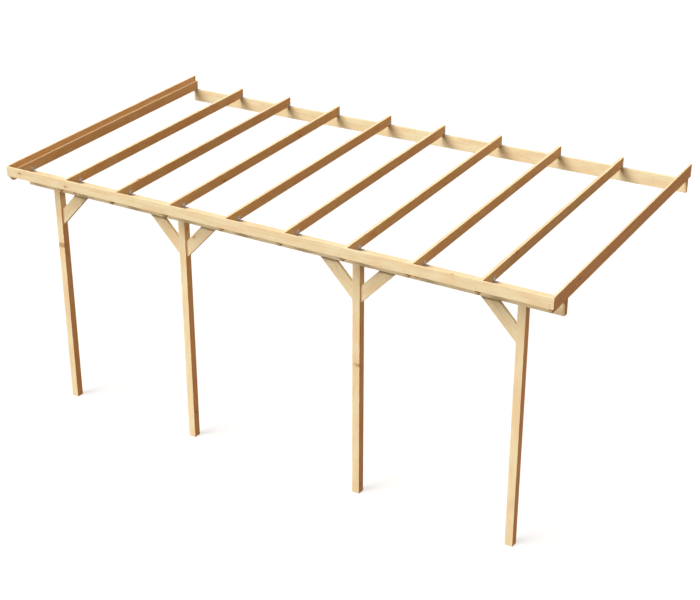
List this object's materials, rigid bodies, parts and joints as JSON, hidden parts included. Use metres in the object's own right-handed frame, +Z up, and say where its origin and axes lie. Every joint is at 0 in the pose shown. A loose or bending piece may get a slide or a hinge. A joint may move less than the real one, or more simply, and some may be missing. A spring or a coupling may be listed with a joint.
{
  "type": "wall-mounted pergola",
  "caption": "Open timber lean-to pergola: sloping rafters between a wall ledger and a front beam on square posts with knee braces, edged with thin fascia and verge boards.",
  "frame": {"origin": "middle of the ledger's flat back face, which lies on the wall; the ground is 2.4187 m below it", "axes": "+X along the wall to the right as seen from the garden, +Y into the wall, +Z up"},
  "size_m": [5.464, 2.726, 2.6192],
  "materials": {
    "planed_pine": "planed, pale and bare, with knots and straight grain",
    "galvanised_steel": "dull zinc coat"
  },
  "bodies": {
    "root": {"post_1": "planed_pine", "post_2": "planed_pine", "post_3": "planed_pine", "post_4": "planed_pine", "front_beam": "planed_pine", "wall_ledger": "planed_pine", "rafter_1": "planed_pine", "rafter_2": "planed_pine", "rafter_3": "planed_pine", "rafter_4": "planed_pine", "rafter_5": "planed_pine", "rafter_6": "planed_pine", "rafter_7": "planed_pine", "rafter_8": "planed_pine", "rafter_9": "planed_pine", "rafter_10": "planed_pine", "front_fascia": "planed_pine", "verge_board_left": "planed_pine", "verge_board_right": "planed_pine", "brace_1_right": "planed_pine", "brace_2_left": "planed_pine", "brace_2_right": "planed_pine", "brace_3_left": "planed_pine", "brace_3_right": "planed_pine", "brace_4_left": "planed_pine", "beam_brackets": "galvanised_steel", "ledger_brackets": "galvanised_steel"}
  },
  "joints": []
}
